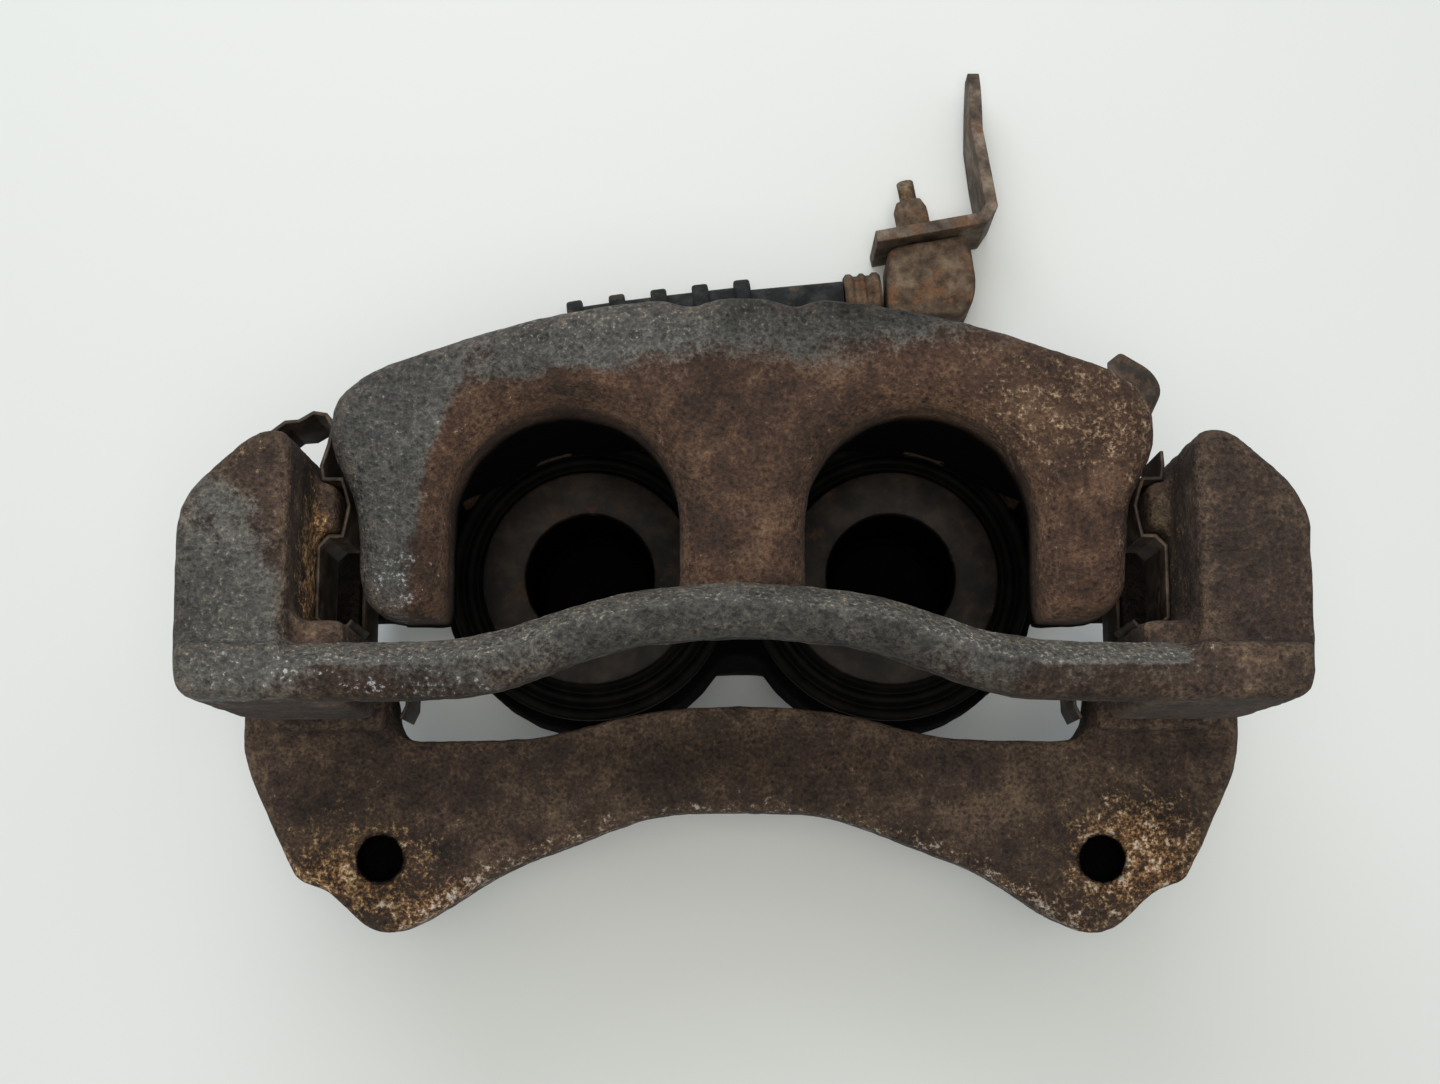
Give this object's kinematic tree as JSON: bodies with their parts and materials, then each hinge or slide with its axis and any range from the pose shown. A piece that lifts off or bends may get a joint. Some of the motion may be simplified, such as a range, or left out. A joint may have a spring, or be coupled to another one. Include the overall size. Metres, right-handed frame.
{
  "type": "disc brake caliper",
  "caption": "Floating twin-piston disc brake caliper in its anchor bracket, with guide pins, pad clips, bleed screw and a short brake hose with its bracket.",
  "frame": {"origin": "bottom centre of the caliper's box without the hose, on the surface that the backs of the cylinders stand on", "axes": "+Z along the wheel axis towards the outboard side, +Y away from the wheel centre, +X to the right seen from outboard"},
  "size_m": [0.229, 0.23, 0.168],
  "materials": {
    "housing_iron": "weathered cast iron with remains of grey paint and rust",
    "bracket_iron": "weathered cast iron, grey outboard and brown with rust inboard",
    "piston_phenolic": "dark moulded phenolic, dusty",
    "boot_rubber": "black moulded rubber",
    "spring_steel": "dark stained spring steel",
    "pin_steel": "ground steel",
    "plated_steel": "dulled zinc plate with rust",
    "copper": "dull annealed copper",
    "hose_rubber": "black ribbed hose rubber, dusty",
    "rusted_steel": "steel with brown surface rust"
  },
  "bodies": {
    "caliper": {"caliper_housing": "housing_iron", "piston_seal_left": "boot_rubber", "piston_seal_right": "boot_rubber", "piston_dust_boot_left": "boot_rubber", "piston_dust_boot_right": "boot_rubber", "guide_pin_left": "pin_steel", "guide_pin_right": "pin_steel", "guide_pin_bolt_left": "plated_steel", "guide_pin_bolt_right": "plated_steel", "guide_pin_boot_left": "boot_rubber", "guide_pin_boot_right": "boot_rubber", "guide_pin_bushing": "boot_rubber", "banjo_bolt": "plated_steel", "banjo_washer_inner": "copper", "banjo_washer_outer": "copper", "banjo_fitting": "plated_steel", "hose_ferrule_caliper": "rusted_steel", "brake_hose": "hose_rubber", "hose_guard": "hose_rubber", "hose_ferrule_end": "rusted_steel", "hose_end_block": "rusted_steel", "hose_bracket": "rusted_steel", "tube_nut": "rusted_steel", "brake_pipe_stub": "plated_steel"},
    "anchor": {"anchor_bracket": "bracket_iron", "pad_clip_inboard_left": "spring_steel", "pad_clip_inboard_right": "spring_steel", "pad_clip_outboard_left": "spring_steel", "pad_clip_outboard_right": "spring_steel"},
    "piston_left": {"piston_left": "piston_phenolic"},
    "piston_right": {"piston_right": "piston_phenolic"},
    "bleeder": {"bleeder_screw": "plated_steel"},
    "bleeder_cap": {"bleeder_cap": "boot_rubber"}
  },
  "joints": [
    {"name": "anchor_slide", "type": "slide", "parent": "caliper", "child": "anchor", "axis": [0, 0, 1], "range_m": [-0.0015, 0.02], "deforming": ["guide_pin_boot_left", "guide_pin_boot_right"]},
    {"name": "piston_left_slide", "type": "slide", "parent": "caliper", "child": "piston_left", "axis": [0, 0, 1], "range_m": [-0.0075, 0.018], "deforming": ["piston_dust_boot_left"]},
    {"name": "piston_right_slide", "type": "slide", "parent": "caliper", "child": "piston_right", "axis": [0, 0, 1], "range_m": [-0.0075, 0.018], "deforming": ["piston_dust_boot_right"]},
    {"name": "bleeder_turn", "type": "hinge", "parent": "caliper", "child": "bleeder", "pos_m": [0.0356, 0.0156, 0.02], "axis": [0.6402, 0.7682, 0], "range_deg": [0, 270]},
    {"name": "bleeder_cap_pull", "type": "slide", "parent": "bleeder", "child": "bleeder_cap", "axis": [0.6402, 0.7682, 0], "range_m": [0, 0.012]}
  ]
}
